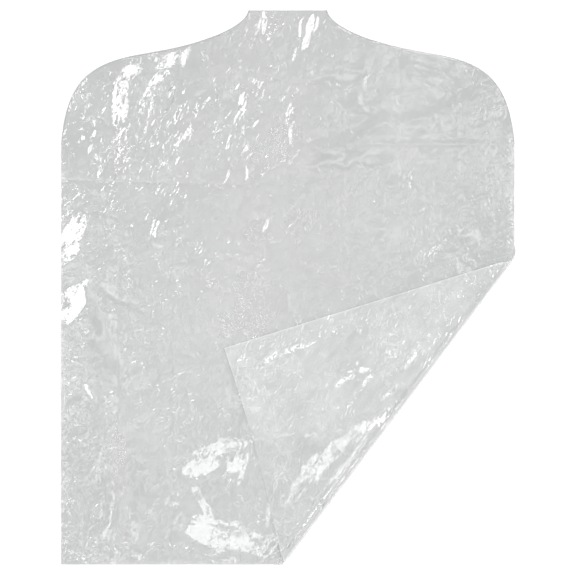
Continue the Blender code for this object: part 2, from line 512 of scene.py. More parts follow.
def lay_hollows():
    """The smooth hollows: where the film is calm, how deep they are, and their painted shade, hazier and
    so darker the deeper they are.
    """
    calm = np.zeros_like(GX)
    hollow = np.zeros_like(GX)
    painted_hollow_shade = np.zeros_like(GX)
    for x, y, half_long, half_short, angle, depth in HOLLOWS:
        mask, across = window(x, y, half_long, half_short, angle, 2.0, soft=1.0, bend=0.014)
        hollow -= depth * mask * (1.0 - 1.2 * np.clip(across / half_short, -1.0, 1.0))
        calm = np.maximum(calm, mask)
        # Painted shade: the deeper a hollow, the more haze it is given and the darker it looks; the
        # shallowest gets a little less.
        painted_hollow_shade += mask * (depth - 0.0010) / 0.0012
    return calm, hollow, painted_hollow_shade


def body_heights(rng, calm, hollow):
    """Heights of the body's back and front films."""
    swell = shape().swell_height
    facet = shape().facet_height
    bent = (GX + 0.050 * waves(0.12, rng), GY + 0.050 * waves(0.12, rng))
    swirls = 1.0 - np.abs(waves(0.090, rng, 0.3, 1.5, at=bent)) * 2.2
    swirls += 0.5 * (1.0 - np.abs(waves(0.050, rng, 2.2, 1.6, at=bent)) * 2.2)

    base = swell * (0.5 * waves(0.30, rng) + 0.5 * waves(0.14, rng, 0.5, 1.4))
    crumple = 0.62 * facets(0.085, rng, 1.1, 1.3)
    crumple += 0.40 * facets(0.046, rng, 1.2, 1.5)
    crumple += 0.26 * facets(0.024, rng, 1.0, 1.6)
    crumple *= facet * (1.0 - 0.75 * calm) * (1.0 - 0.5 * swirl_zone())
    back = 0.0024 + base + crumple + hollow + packing_creases(rng) + 0.0015 * swirls * swirl_zone()

    near_fold = smooth_ramp(fold_distance(), 0.010, 0.080)
    outside = outside_corner()
    ceiling = UNDER_CORNER_CEILING + (BODY_CEILING - UNDER_CORNER_CEILING) * outside
    back = LIFT + settle(back * (0.35 + 0.65 * near_fold), ceiling)

    own = 0.0006 * waves(0.11, rng) + facet * (0.20 * facets(0.052, rng, 0.4, 1.4)
                                               + 0.18 * facets(0.022, rng, 1.3, 1.5))
    own = 0.0009 + own * (1.0 - 0.6 * calm)
    gap_ceiling = GAP_CEILING + (OPEN_GAP_CEILING - GAP_CEILING) * outside
    gap = FILM_GAP + settle(own, gap_ceiling)
    return back, back + gap * closed_edges()


def corner_heights(rng, front):
    """Heights of the turned corner's two films, which rest on the body's front film at the edges."""
    facet = shape().facet_height
    drape = 0.0006 * waves(0.16, rng) + facet * (0.16 * facets(0.075, rng, 0.5, 1.4)
                                                 + 0.22 * facets(0.036, rng, 0.9, 1.5)
                                                 + 0.16 * facets(0.019, rng, 1.0, 1.5))
    held_up = CORNER_FLOOR + settle(0.0012 + drape, CORNER_CEILING)
    raised = np.maximum(smooth_ramp(corner_depth(), 0.0, 0.090),
                        1.0 - smooth_ramp(fold_distance(), 0.028, 0.085))
    share = 0.25 + 0.75 * raised
    resting = front + 0.0004 + settle(0.0006 + 0.6 * drape, 0.0016) * share
    lower_film = resting + (np.maximum(held_up, resting) - resting) * raised
    over = 0.0004 * waves(0.09, rng) + facet * (0.14 * facets(0.050, rng, 0.3, 1.3)
                                                + 0.14 * facets(0.023, rng, 1.2, 1.4))
    gap = FILM_GAP / 2 + settle(0.0007 + over, CORNER_GAP_CEILING)
    return lower_film, lower_film + FILM_GAP / 2 + gap * share


def fold_lines(rng, lit):
    """How far inwards of the fold a point lies, the lean of the lines along it, and the corner's haze and
    painted light.
    """
    inward = fold_distance() + 0.0022 * waves(0.070, rng)
    along = fold_reach() / FOLD_LENGTH
    lower = 1.0 - smooth_ramp(along, 0.42, 0.52)
    drawn = 0.14 * (waves(0.006, rng, FOLD_ANGLE, 24.0) + 0.6 * waves(0.012, rng, FOLD_ANGLE, 16.0))
    drawn *= 1.0 - smooth_ramp(inward, 0.022, 0.055 + 0.050 * lower)
    drawn *= 1.0 - 0.6 * lower
    broken = 0.86 + 0.24 * waves(0.030, rng, FOLD_ANGLE, 3.0)
    # One line all along the fold, and two more beside its lower half.
    for place, width, share in ((0.0085, 0.0029, 1.0), (0.0190, 0.0030, lower), (0.0340, 0.0024, lower)):
        drawn += (0.36 * broken - drawn) * share * np.exp(-((inward - place) / width) ** 4)
    drawn *= (1.0 - lit) * smooth_ramp(along, 0.015, 0.050)

    # Painted highlight: hazier, and so lighter, along the free edges. Painted shade: clearer, and so
    # darker, at the fold and beside its first line. Clearer and darker too near its upper end and near
    # the hem.
    haze = 0.55 * (1.0 - smooth_ramp(corner_depth(), 0.0015, 0.0060))
    haze -= 0.4 * (1.0 - smooth_ramp(inward, 0.003, 0.006))
    haze -= 0.7 * np.exp(-((inward - 0.0135) / 0.0035) ** 2)
    near_hem = 1.0 - smooth_ramp(GY + 0.10 * GX + 0.03 * waves(0.070, rng), -0.50, -0.30)
    haze += 0.12 * waves(0.030, rng, 0.4, 2.0) + 0.16 * waves(0.012, rng, 0.9, 3.0) - 0.30
    near_end = np.exp(-((along - 0.86) / 0.07) ** 2) * smooth_ramp(-inward, -0.05, 0.0)
    haze -= 0.60 * near_hem + 0.6 * near_end
    return inward, drawn, np.maximum(haze, -0.68) * (1.0 - lit)


def add_pulled_bands(rng, lean_x, lean_y, lit):
    """The lean with the long parallel folds added."""
    for x, y, half_long, half_short, angle, spacing, lean in PULLED_BANDS:
        mask = window(x, y, half_long, half_short, angle, soft=0.9)[0] * (1.0 - lit)
        turn = math.radians(angle)
        bent = (GX + 0.020 * waves(0.080, rng), GY + 0.020 * waves(0.080, rng))
        pulled = waves(spacing, rng, turn, 7.0, at=bent)
        pulled = pulled + 0.4 * waves(spacing / 2, rng, turn, 7.0, at=bent)
        lean_x = lean_x - lean * mask * pulled * math.sin(turn)
        lean_y = lean_y + lean * mask * pulled * math.cos(turn)
    return lean_x, lean_y


def body_haze_and_painted_shading(rng, painted_hollow_shade, lit):
    """How much more, or less, the body's film hides than it does on average, and its painted shade."""
    haze = painted_hollow_shade + 0.16 * waves(0.10, rng, 0.6, 1.8) + 0.12 * waves(0.035, rng, 0.6, 2.2)
    # Hazier, and so darker, at the upper right, the right side and the lower left;
    # clearer, and so lighter, down the middle.
    haze = haze + 0.30 * smooth_ramp(GX - 0.4 * GY, 0.05, 0.30) * smooth_ramp(GY, 0.25, 0.45)
    haze += 0.60 * smooth_ramp(GX, 0.32, 0.48)
    haze += 0.50 * (1.0 - smooth_ramp(GX, -0.50, -0.40)) * (1.0 - smooth_ramp(GY, -0.45, 0.05))
    haze -= 0.55 * np.exp(-((GX + 0.07) / 0.17) ** 2) * smooth_ramp(GY, -0.35, -0.10)
    # Straight lines at the lower left, hazier and clearer in turn: painted shading of the folds there.
    # A clearer, lighter line runs across them.
    banded = np.random.default_rng(3)
    bands = waves(0.017, banded, math.radians(89), 9.0)
    bands = bands + 0.5 * waves(0.008, banded, math.radians(87), 9.0)
    haze += 0.9 * bands * window(-0.475, -0.500, 0.260, 0.105, 88, soft=0.8)[0]
    haze -= 0.9 * window(-0.470, -0.402, 0.070, 0.0045, 2, soft=0.8)[0]
    return haze * (1.0 - lit)


def body_glints(rng, calm):
    """Where the body's film carries fine glinting lines, and the clusters that they come in."""
    strip = GX / STRIP_WIDTH + 0.12
    near_strip = np.exp(-((strip - np.round(strip)) * STRIP_WIDTH / 0.022) ** 2)
    streak = smooth_ramp(GY - 0.9 * GX, 0.05, 0.70) * smooth_ramp(GY, 0.10, 0.34)
    clustered = smooth_ramp(waves(0.038, rng, 1.2, 1.6) + 0.6 * waves(0.016, rng), -0.05, 0.45)
    streak = streak * (0.42 + 0.75 * near_strip) * clustered + 0.10 * clustered
    for x, y, half_long, half_short, angle, strength in GLINT_CHAINS:
        chain = window(x, y, half_long, half_short, angle, soft=0.9)[0] * (0.35 + 0.65 * clustered)
        streak = np.maximum(streak, strength * chain)
    return streak * (1.0 - 0.7 * calm), clustered


def make_fields():
    """All the fields: heights of the four films, and what their materials read."""
    rng = np.random.default_rng(shape().seed)
    lean_x, lean_y, lit = turned_patches(BODY_PATCHES + scattered_streaks(rng), rng)
    corner_lean_x, corner_lean_y, corner_lit = turned_patches(CORNER_PATCHES, rng)
    calm, hollow, painted_hollow_shade = lay_hollows()
    back, front = body_heights(rng, calm, hollow)
    corner_front, corner_back = corner_heights(rng, front)
    inward, drawn, corner_haze = fold_lines(rng, corner_lit)
    lean_x, lean_y = add_pulled_bands(rng, lean_x, lean_y, lit)
    haze = body_haze_and_painted_shading(rng, painted_hollow_shade, lit)
    lively = (0.9 + 0.5 * waves(0.12, rng)) * (1.0 - 0.8 * calm) * (1.0 - 0.5 * swirl_zone())
    lively *= 1.0 - 0.6 * lit
    streak, clustered = body_glints(rng, calm)
    corner_lively = np.clip(2.0 + 0.8 * waves(0.09, rng), 0.2, 2.8) * (1.0 - 0.5 * corner_lit)
    corner_lively = corner_lively * (0.35 + 0.65 * smooth_ramp(inward, 0.020, 0.050))
    return {
        "back": back,
        "front": front,
        "crinkle": np.clip(lively, 0.08, 1.4),
        "streak": streak,
        "lean_x": lean_x,
        "lean_y": lean_y,
        "haze": haze,
        "corner_front": corner_front,
        "corner_back": corner_back,
        "corner_crinkle": corner_lively,
        "corner_streak": 0.7 * clustered,
        "corner_lean_x": corner_lean_x + drawn * FOLD_INWARD.x,
        "corner_lean_y": corner_lean_y + drawn * FOLD_INWARD.y,
        "corner_haze": corner_haze,
    }


def corner_depth():
    """How far inside the turned corner's two free edges a point lies."""
    along = fold_reach()
    inward = fold_distance()
    tip_along, tip_in = corner_tip()
    hem_edge = along - tip_along / tip_in * inward
    side_edge = (FOLD_LENGTH + (tip_along - FOLD_LENGTH) / tip_in * inward) - along
    return np.minimum(hem_edge, side_edge) * 0.7


def outside_corner():
    """1 where nothing lies on the body film, 0 under the turned corner."""
    return 1.0 - smooth_ramp(corner_depth(), -0.035, 0.005)


def closed_edges():
    """1 in the middle of the cape, falling to 0.3 where the two walls of film meet."""
    return 0.30 + 0.70 * smooth_ramp(half_width_at(GY) - np.abs(GX), 0.0, 0.016)


def corner_tip():
    """The turned corner's tip: how far along the fold and how far inwards."""
    run = HALF_WIDTH - FOLD_FOOT.x
    along = run * FOLD_RUN.x + CORNER_SIDE_SHIFT
    inwards = run * FOLD_RUN.y * CORNER_DRAW_IN
    return along, inwards


# ================================================================ cut of the film
def bezier(start, pull_start, pull_end, end):
    """Points along a cubic curve."""
    t = np.linspace(0.0, 1.0, CURVE_STEPS + 1)[:, None]
    s = 1.0 - t
    return s**3 * start + 3 * s * s * t * pull_start + 3 * s * t * t * pull_end + t**3 * end


def bell_curve():
    """The welded edge on the +X side, from the neck opening down to the side fold."""
    neck_top = np.array((NECK_HALF, NECK_TOP_Y))
    slope = np.array((1.0, -SHOULDER_SLOPE))
    shoulder_in = np.array((SHOULDER_INNER, NECK_TOP_Y - SHOULDER_DROP))
    shoulder_out = shoulder_in + slope * (SHOULDER_OUTER - SHOULDER_INNER)
    side = np.array((HALF_WIDTH, SIDE_FOLD_Y))
    neck = bezier(neck_top, neck_top + NECK_PULL, shoulder_in - slope * SHOULDER_PULL_IN, shoulder_in)
    corner = bezier(shoulder_out, shoulder_out + slope * SHOULDER_PULL_OUT, side + SIDE_PULL, side)
    return np.vstack((neck, corner))


BELL = bell_curve()


def half_width_at(y):
    """Half the width of the film at a height y of the outline."""
    return np.interp(y, BELL[::-1, 1], BELL[::-1, 0])


# ================================================================ meshes
def new_object(name, vertices, faces, flip=False):
    """A mesh object from arrays, its faces turned over if asked, shaded smooth."""
    if flip:
        faces = faces[:, ::-1]
    mesh = bpy.data.meshes.new(name)
    mesh.from_pydata(vertices.tolist(), [], faces.tolist())
    mesh.shade_smooth()
    piece = bpy.data.objects.new(name, mesh)
    bpy.context.collection.objects.link(piece)
    return piece


def grid_faces(rows, columns):
    """The quads of a grid of points, facing up when rows run along +Y and columns along +X."""
    index = np.arange(rows * columns).reshape(rows, columns)
    return np.stack((index[:-1, :-1], index[:-1, 1:], index[1:, 1:], index[1:, :-1]), -1).reshape(-1, 4)


def rows_between(low, high, step, dense_at=None):
    """Heights of mesh rows, close together at a line where the film folds."""
    rows = np.linspace(low, high, max(2, int(round((high - low) / step)) + 1))
    if dense_at is None:
        return rows
    rows = rows[np.abs(rows - dense_at) > BEND_HALF * 1.25]
    fold = dense_at + BEND_HALF * np.linspace(-1.0, 1.0, 13)
    return np.sort(np.concatenate((rows, fold)))


def film_piece(name, x, y, z, flip, zone="", merge=False):
    """Film through a grid of points, which carries what its material reads: crinkles, haze with painted
    light and shade, and lean.
    """
    piece = new_object(name, np.stack((x, y, z), -1).reshape(-1, 3), grid_faces(*x.shape), flip)
    if merge:
        merge_points(piece)
    points = np.empty(len(piece.data.vertices) * 3)
    piece.data.vertices.foreach_get("co", points)
    x, y, _ = points.reshape(-1, 3).T
    for value in ("crinkle", "streak", "haze"):
        attribute = piece.data.attributes.new(value, "FLOAT", "POINT")
        attribute.data.foreach_set("value", sample(fields()[zone + value], x, y).astype(np.float32))
    lean = np.stack((sample(fields()[zone + "lean_x"], x, y), sample(fields()[zone + "lean_y"], x, y),
                     np.zeros_like(x)), -1)
    attribute = piece.data.attributes.new("lean", "FLOAT_VECTOR", "POINT")
    attribute.data.foreach_set("vector", lean.ravel().astype(np.float32))
    return piece


def film_rows(name, layer, rows, right_edge, columns):
    """Film over rows of constant y, from the left edge to the right edge, and its area."""
    left = -half_width_at(rows)[:, None]
    right = right_edge(rows)[:, None]
    x = left + (right - left) * np.linspace(0.0, 1.0, columns)
    y = np.repeat(rows[:, None], columns, axis=1)
    piece = film_piece(name, x, y, sample(fields()[layer], x, y), layer == "back")
    return piece, float(area_under((right - left)[:, 0], rows))


def area_under(widths, rows):
    """The area of film whose width is known at each row."""
    return np.sum((widths[1:] + widths[:-1]) / 2 * np.diff(rows))


def skirt_right_edge(rows):
    """The skirt's right edge: the side, then the line where the corner's roll begins."""
    inset = ROLL_BAND / FOLD_RUN.y
    join = FOLD_FOOT.x - inset + (rows - FOLD_FOOT.y) * FOLD_RUN.x / FOLD_RUN.y
    return np.minimum(half_width_at(rows), join)


def corner_lines(reach, inward):
    """The turned corner's points in rows along the fold, from its hem edge to its side edge.

    Reach is measured on the film from the fold, and is negative on the body's side of it."""
    tip_along, tip_in = corner_tip()
    level = np.maximum(reach, 0.0) / tip_in
    behind = np.maximum(-reach, 0.0)
    bow = HEM_EDGE_BOW * np.sin(level * math.pi)
    start = tip_along * level + bow - behind * FOLD_RUN.x / FOLD_RUN.y
    end = FOLD_LENGTH + (tip_along - FOLD_LENGTH) * level + behind * FOLD_RUN.y / FOLD_RUN.x
    share = np.linspace(0.0, 1.0, int(FOLD_LENGTH / shape().mesh_step))[None, :]
    along = start[:, None] + (end - start)[:, None] * share
    x = FOLD_FOOT.x + along * FOLD_RUN.x + inward[:, None] * FOLD_INWARD.x
    y = FOLD_FOOT.y + along * FOLD_RUN.y + inward[:, None] * FOLD_INWARD.y
    return along, x, y, area_under(end - start, reach)


def corner_film(side):
    """One film of the turned corner, from the end of the rolled fold to the tip, and its area."""
    tip_in = corner_tip()[1]
    reach = np.linspace(ROLL_BAND, tip_in, int((tip_in - ROLL_BAND) / shape().mesh_step))
    _, x, y, area = corner_lines(reach, reach)
    z = sample(fields()["corner_" + side], x, y)
    return film_piece(f"corner_{side}_film", x, y, z, side == "front", "corner_", merge=True), area


def corner_roll(side):
    """One film's rolled fold, out of the body, round the fold and back over it, and its area."""
    roll = np.linspace(-1.0, 1.0, ROLL_ROWS)
    inward = ROLL_NOSE[side] + (ROLL_BAND - ROLL_NOSE[side]) * roll**2
    along, x, y, area = corner_lines(roll * ROLL_BAND, inward)
    join_x = FOLD_FOOT.x + along * FOLD_RUN.x + ROLL_BAND * FOLD_INWARD.x
    join_y = FOLD_FOOT.y + along * FOLD_RUN.y + ROLL_BAND * FOLD_INWARD.y
    low = sample(fields()[side], join_x, join_y)
    high = sample(fields()["corner_" + side], join_x, join_y)
    # From -1 to 1, level at both ends.
    turn = roll * (1.875 - 1.25 * roll**2 + 0.375 * roll**4)
    swell = ROLL_SWELL * np.clip(roll, 0.0, 1.0) * (1.0 - roll**2) ** 2
    sag = ROLL_SAG * np.clip(-roll, 0.0, 1.0) * (1.0 - roll**2) ** 2
    z = (low + high) / 2 + (high - low) / 2 * turn[:, None] + (swell - sag)[:, None]
    return film_piece(f"corner_{side}_roll", x, y, z, side == "front", "corner_"), area


def merge_points(piece, outward=False):
    """Merge the points of a mesh that coincide, and turn its faces outwards if asked."""
    work = bmesh.new()
    work.from_mesh(piece.data)
    bmesh.ops.remove_doubles(work, verts=work.verts, dist=1e-6)
    if outward:
        bmesh.ops.recalc_face_normals(work, faces=work.faces)
    work.to_mesh(piece.data)
    work.free()


# ================================================================ materials
class Wire:
    """An output of a node, on which arithmetic adds Math nodes."""

    def __init__(self, tree, socket):
        self.tree = tree
        self.socket = socket

    def node(self, kind, settings=None, **values):
        """Any node: its settings are set first, then its inputs' values or links."""
        return make_node(self.tree, kind, settings, **values)

    def math(self, operation, *values):
        """A Math node on this value."""
        made = self.tree.nodes.new("ShaderNodeMath")
        made.operation = operation
        for place, value in enumerate((self, *values)):
            connect(self.tree, value, made.inputs[place])
        return Wire(self.tree, made.outputs[0])

    def __add__(self, other):
        return self.math("ADD", other)

    def __radd__(self, other):
        return self.math("ADD", other)

    def __sub__(self, other):
        return self.math("SUBTRACT", other)

    def __rsub__(self, other):
        return (self * -1.0).math("ADD", other)

    def __mul__(self, other):
        return self.math("MULTIPLY", other)

    def __rmul__(self, other):
        return self.math("MULTIPLY", other)

    def __abs__(self):
        return self.math("ABSOLUTE")

    def ramp(self, low, high):
        """A smooth step from 0 at low to 1 at high."""
        made = self.node("ShaderNodeMapRange", {"interpolation_type": "SMOOTHSTEP"},
                         Value=self, From_Min=low, From_Max=high)
        return made["Result"]


def connect(tree, value, target):
    """Link a wire to a socket, or set the socket's own value."""
    if isinstance(value, Wire):
        tree.links.new(value.socket, target)
    else:
        target.default_value = value


def make_node(tree, kind, settings=None, **values):
    """A node with its settings and inputs; the result gives its outputs by name."""
    made = tree.nodes.new(kind)
    for name, value in (settings or {}).items():
        setattr(made, name, value)
    for name, value in values.items():
        connect(tree, value, made.inputs[name.replace("_", " ")])
    return {output.name: Wire(tree, output) for output in made.outputs if output.enabled}


def vector_math(tree, operation, *values, scale=None):
    """A Vector Math node on wires or fixed vectors."""
    made = tree.nodes.new("ShaderNodeVectorMath")
    made.operation = operation
    for place, value in enumerate(values):
        connect(tree, value, made.inputs[place])
    if scale is not None:
        connect(tree, scale, made.inputs["Scale"])
    return Wire(tree, made.outputs["Vector"])


def new_material(name):
    """An empty node material with its shader."""
    material = bpy.data.materials.new(name)
    material.use_nodes = True
    return material, material.node_tree, material.node_tree.nodes["Principled BSDF"]


def carried(tree, name, output="Fac"):
    """What a mesh carries at each point under a name."""
    return make_node(tree, "ShaderNodeAttribute", {"attribute_name": name})[output]


def flat_noise(tree, place, scale=1.0, detail=0.0, **values):
    """Noise from 0 to 1 that changes along the film only."""
    return make_node(tree, "ShaderNodeTexNoise", {"noise_dimensions": "2D"}, Vector=place,
                     Scale=scale, Detail=detail, **values)["Fac"]


def drawn_out(tree, place, angle, length, width, shift=(0.0, 0.0, 0.0)):
    """Coordinates on cells of a length and a width, turned by an angle in degrees."""
    return make_node(tree, "ShaderNodeMapping", {"vector_type": "TEXTURE"}, Vector=place, Location=shift,
                     Rotation=(0.0, 0.0, math.radians(angle)), Scale=(length, width, 1.0))["Vector"]


def film_material(name, colour, alpha):
    """Clear glossy film with fine crinkles and a little haze, whose carried haze also paints light and
    shade.
    """
    material, tree, shader = new_material(name)
    place = make_node(tree, "ShaderNodeTexCoord")["Object"]
    crinkle = carried(tree, "crinkle")
    bend = make_node(tree, "ShaderNodeTexNoise", {"noise_dimensions": "3D"},
                     Vector=place, Scale=22.0, Detail=1.0)["Color"]
    bent = vector_math(tree, "MULTIPLY_ADD", bend, (0.020, 0.020, 0.0), place)

    patchy = flat_noise(tree, place, 30.0, 1.0)
    ridges = 0.0
    for size, height, angle, stretch in ((0.036, 0.0020, 20, 1.7), (0.017, 0.0011, 75, 1.8),
                                         (0.0085, 0.00055, 50, 1.5), (0.0050, 0.00022, 110, 1.3)):
        grid = drawn_out(tree, bent, angle, size * stretch, size, (size, 3 * size, 0.0))
        ridges = abs(flat_noise(tree, grid, Distortion=0.4) - 0.5) * height + ridges

    lines = flat_noise(tree, drawn_out(tree, bent, 66, 0.026, 0.0048)).ramp(0.60, 0.73)
    line_lean = vector_math(tree, "SCALE", (-0.37, 0.20, 0.0), scale=lines * carried(tree, "streak"))
    level = make_node(tree, "ShaderNodeNewGeometry")["Normal"]
    leaning = vector_math(tree, "ADD", level, carried(tree, "lean", "Vector"))
    leaning = vector_math(tree, "ADD", leaning, line_lean)
    gentle = crinkle.math("MINIMUM", 0.8) - (crinkle - 1.3).math("MAXIMUM", 0.0) * 0.8
    for angle, tilt_x, tilt_y in ((20, -0.22, 0.30), (118, 0.30, 0.24), (48, 0.24, -0.28)):
        grid = drawn_out(tree, bent, angle, 0.016, 0.0042, (0.1 * angle, 0.0, 0.0))
        ticks = flat_noise(tree, grid).ramp(0.66, 0.80) * patchy.ramp(0.45, 0.60) * gentle
        tick_lean = vector_math(tree, "SCALE", (tilt_x, tilt_y, 0.0), scale=ticks)
        leaning = vector_math(tree, "ADD", leaning, tick_lean)
    leaning = vector_math(tree, "NORMALIZE", leaning)
    bump = make_node(tree, "ShaderNodeBump", Height=ridges * crinkle, Strength=1.0, Distance=1.0,
                     Normal=leaning)["Normal"]

    haze = flat_noise(tree, place, 9.0, 3.0)
    # The carried haze is partly the film's own and partly painted light: painted shade in the body's
    # hollows, on folds and at the corner's fold, and a painted highlight along the corner's free edges.
    haze_and_painted_light = carried(tree, "haze")
    connect(tree, haze * 0.08 + haze_and_painted_light * 0.16 + (alpha - 0.04), shader.inputs["Alpha"])
    # Where the carried haze is below zero the colour is darker too, which deepens the painted shade at
    # the turned corner's fold.
    tint = vector_math(tree, "SCALE", tuple(colour),
                       scale=haze * 0.10 + haze_and_painted_light.math("MINIMUM", 0.0) * 0.11 + 0.95)
    connect(tree, tint, shader.inputs["Base Color"])
    connect(tree, haze * 0.08 + (look().roughness - 0.04), shader.inputs["Roughness"])
    connect(tree, bump, shader.inputs["Normal"])
    shader.inputs["IOR"].default_value = look().gloss_ior
    return material


def bead_material():
    """The fused edge: duller and darker than the film."""
    material, tree, shader = new_material("weld_bead")
    place = make_node(tree, "ShaderNodeTexCoord")["Object"]
    lumps = make_node(tree, "ShaderNodeTexNoise", Vector=place, Scale=260.0, Detail=2.0)["Fac"]
    bump = make_node(tree, "ShaderNodeBump", Height=lumps * 0.0004, Strength=1.0, Distance=1.0)["Normal"]
    connect(tree, bump, shader.inputs["Normal"])
    connect(tree, lumps * 0.20 + 0.15, shader.inputs["Roughness"])
    connect(tree, lumps * 0.20 + 0.60, shader.inputs["Alpha"])
    shader.inputs["Base Color"].default_value = (*look().bead_colour, 1.0)
    shader.inputs["IOR"].default_value = 1.5
    return material


def floor_material():
    """A plain pale floor."""
    material, _, shader = new_material("pale_floor")
    shader.inputs["Base Color"].default_value = (*look().floor_colour, 1.0)
    shader.inputs["Roughness"].default_value = 0.9
    shader.inputs["Specular IOR Level"].default_value = 0.1
    return material


STORE = {}


def shared(name, make):
    """A material or a set of fields that several functions use, made once."""
    if name not in STORE:
        STORE[name] = make()
    return STORE[name]


def fields():
    """The height fields, made once."""
    return shared("fields", make_fields)


def finish_of(side):
    """The material of one wall of film."""
    # The two walls' colours differ only as painted light: the lighter back wall paints the turned corner
    # lighter.
    colour = getattr(look(), side + "_colour")
    alpha = getattr(look(), side + "_alpha")
    return shared(side, lambda: film_material(side + "_film", colour, alpha))


def dress(piece, material, replaced):
    """Give a piece its material and hide the parts that it replaces."""
    piece.data.materials.append(material)
    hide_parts(*replaced)


# ================================================================ operators
def both_walls(zone, node, rows, right_edge, columns, place):
    """Make a zone's back and front films over rows, and hand each to the function place."""
    for side in ("back", "front"):
        piece, area = film_rows(f"{zone}_{side}_film", side, rows, right_edge, columns)
        dress(piece, finish_of(side), [f"{side}_{node}"])
        place(piece)


def bend_at(piece):
    """Bake a piece's place into its mesh."""
    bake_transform(piece)


class CAPE_OT_skirt_films(bpy.types.Operator):
    """Make the skirt's two walls of film."""
    bl_idname = "cape.skirt_films"
    bl_label = "Skirt films"

    def execute(self, context):
        step = shape().mesh_step
        corner_y = FOLD_FOOT.y + (HALF_WIDTH - FOLD_FOOT.x + ROLL_BAND / FOLD_RUN.y) \
            * FOLD_RUN.y / FOLD_RUN.x
        below = rows_between(HEM_Y, corner_y, step)
        above = rows_between(corner_y, SKIRT_TOP_Y, step)
        rows = np.concatenate((below, above[1:]))
        both_walls("skirt", "panel", rows, skirt_right_edge, int(2 * HALF_WIDTH / step),
                   lambda piece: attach(piece, "cape_panel"))
        return {"FINISHED"}


class CAPE_OT_yoke_films(bpy.types.Operator):
    """Make the yoke's two walls of film, with rows close together at the packing crease."""
    bl_idname = "cape.yoke_films"
    bl_label = "Yoke films"

    def execute(self, context):
        step = shape().mesh_step * YOKE_SPACING
        rows = rows_between(SKIRT_TOP_Y, COLLAR_JOIN_Y, step, CREASE_Y)
        both_walls("yoke", "yoke", rows, half_width_at, int(2 * HALF_WIDTH / step),
                   lambda piece: bend_at(piece))
        return {"FINISHED"}


class CAPE_OT_collar_films(bpy.types.Operator):
    """Make the neck stub's two walls of film, with rows close together where the collar turns down."""
    bl_idname = "cape.collar_films"
    bl_label = "Collar films"

    def execute(self, context):
        step = shape().mesh_step * COLLAR_SPACING
        rows = rows_between(COLLAR_JOIN_Y, NECK_TOP_Y, step, COLLAR_Y)
        width = 2 * float(half_width_at(COLLAR_JOIN_Y))
        columns = int(width / (step * COLLAR_COLUMN_SPACING))
        both_walls("collar", "collar", rows, half_width_at, columns,
                   lambda piece: bend_at(piece))
        return {"FINISHED"}


class CAPE_OT_corner_films(bpy.types.Operator):
    """Make the two walls of film of the turned-over hem corner, with its rolled fold."""
    bl_idname = "cape.corner_films"
    bl_label = "Turned corner films"

    def execute(self, context):
        tip_in = corner_tip()[1]
        for side in ("front", "back"):
            piece, area = corner_film(side)
            dress(piece, finish_of(side), [f"{side}_hem_corner"])
            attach(piece, "hem_corner")
            tip_in - ROLL_BAND
            piece, area = corner_roll(side)
            dress(piece, finish_of(side), [f"{side}_hem_corner"])
            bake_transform(piece)
        return {"FINISHED"}


def bead_tree(material):
    """A node tree that sweeps an uneven round bead along an edge, and its inputs' identifiers."""
    tree = bpy.data.node_groups.new("weld_bead_sweep", "GeometryNodeTree")
    face = tree.interface
    face.new_socket("Edge", in_out="INPUT", socket_type="NodeSocketGeometry")
    sockets = {}
    for label, default in (("Bead radius", 0.001), ("Spacing", BEAD_SPACING),
                           ("Unevenness", BEAD_UNEVENNESS)):
        socket = face.new_socket(label, in_out="INPUT", socket_type="NodeSocketFloat")
        socket.default_value = default
        sockets[label] = socket.identifier
    face.new_socket("Bead", in_out="OUTPUT", socket_type="NodeSocketGeometry")
    source = make_node(tree, "NodeGroupInput")
    curve = make_node(tree, "GeometryNodeMeshToCurve", Mesh=source["Edge"])["Curve"]
    curve = make_node(tree, "GeometryNodeResampleCurve", {"mode": "LENGTH"}, Curve=curve,
                      Length=source["Spacing"])["Curve"]
    noise = make_node(tree, "ShaderNodeTexNoise", Scale=180.0)["Fac"]
    size = noise.math("MULTIPLY_ADD", source["Unevenness"], 0.85) * source["Bead radius"]
    curve = make_node(tree, "GeometryNodeSetCurveRadius", Curve=curve, Radius=size)["Curve"]
    circle = make_node(tree, "GeometryNodeCurvePrimitiveCircle", Resolution=8, Radius=1.0)["Curve"]
    bead = make_node(tree, "GeometryNodeCurveToMesh", Curve=curve, Profile_Curve=circle, Scale=size,
                     Fill_Caps=True)["Mesh"]
    bead = make_node(tree, "GeometryNodeSetShadeSmooth", Geometry=bead)["Geometry"]
    bead = make_node(tree, "GeometryNodeRealizeInstances", Geometry=bead)["Geometry"]
    bead = make_node(tree, "GeometryNodeSetMaterial", Geometry=bead, Material=material)["Geometry"]
    make_node(tree, "NodeGroupOutput", Bead=bead)
    return tree, sockets


def swept_bead(name, path, tree, sockets):
    """A bead along a path, made by the node tree and kept as a plain mesh."""
    mesh = bpy.data.meshes.new(name + "_path")
    edges = [(i, i + 1) for i in range(len(path) - 1)]
    mesh.from_pydata(path.tolist(), edges, [])
    guide = bpy.data.objects.new(name + "_path", mesh)
    bpy.context.collection.objects.link(guide)
    sweep = guide.modifiers.new("sweep", "NODES")
    sweep.node_group = tree
    sweep[sockets["Bead radius"]] = shape().bead_radius
    sweep[sockets["Spacing"]] = BEAD_SPACING
    sweep[sockets["Unevenness"]] = BEAD_UNEVENNESS
    graph = bpy.context.evaluated_depsgraph_get()
    made = bpy.data.meshes.new_from_object(guide.evaluated_get(graph), depsgraph=graph)
    made.name = name
    bpy.data.objects.remove(guide, do_unlink=True)
    bead = bpy.data.objects.new(name, made)
    bpy.context.collection.objects.link(bead)
    merge_points(bead, outward=True)
    return bead


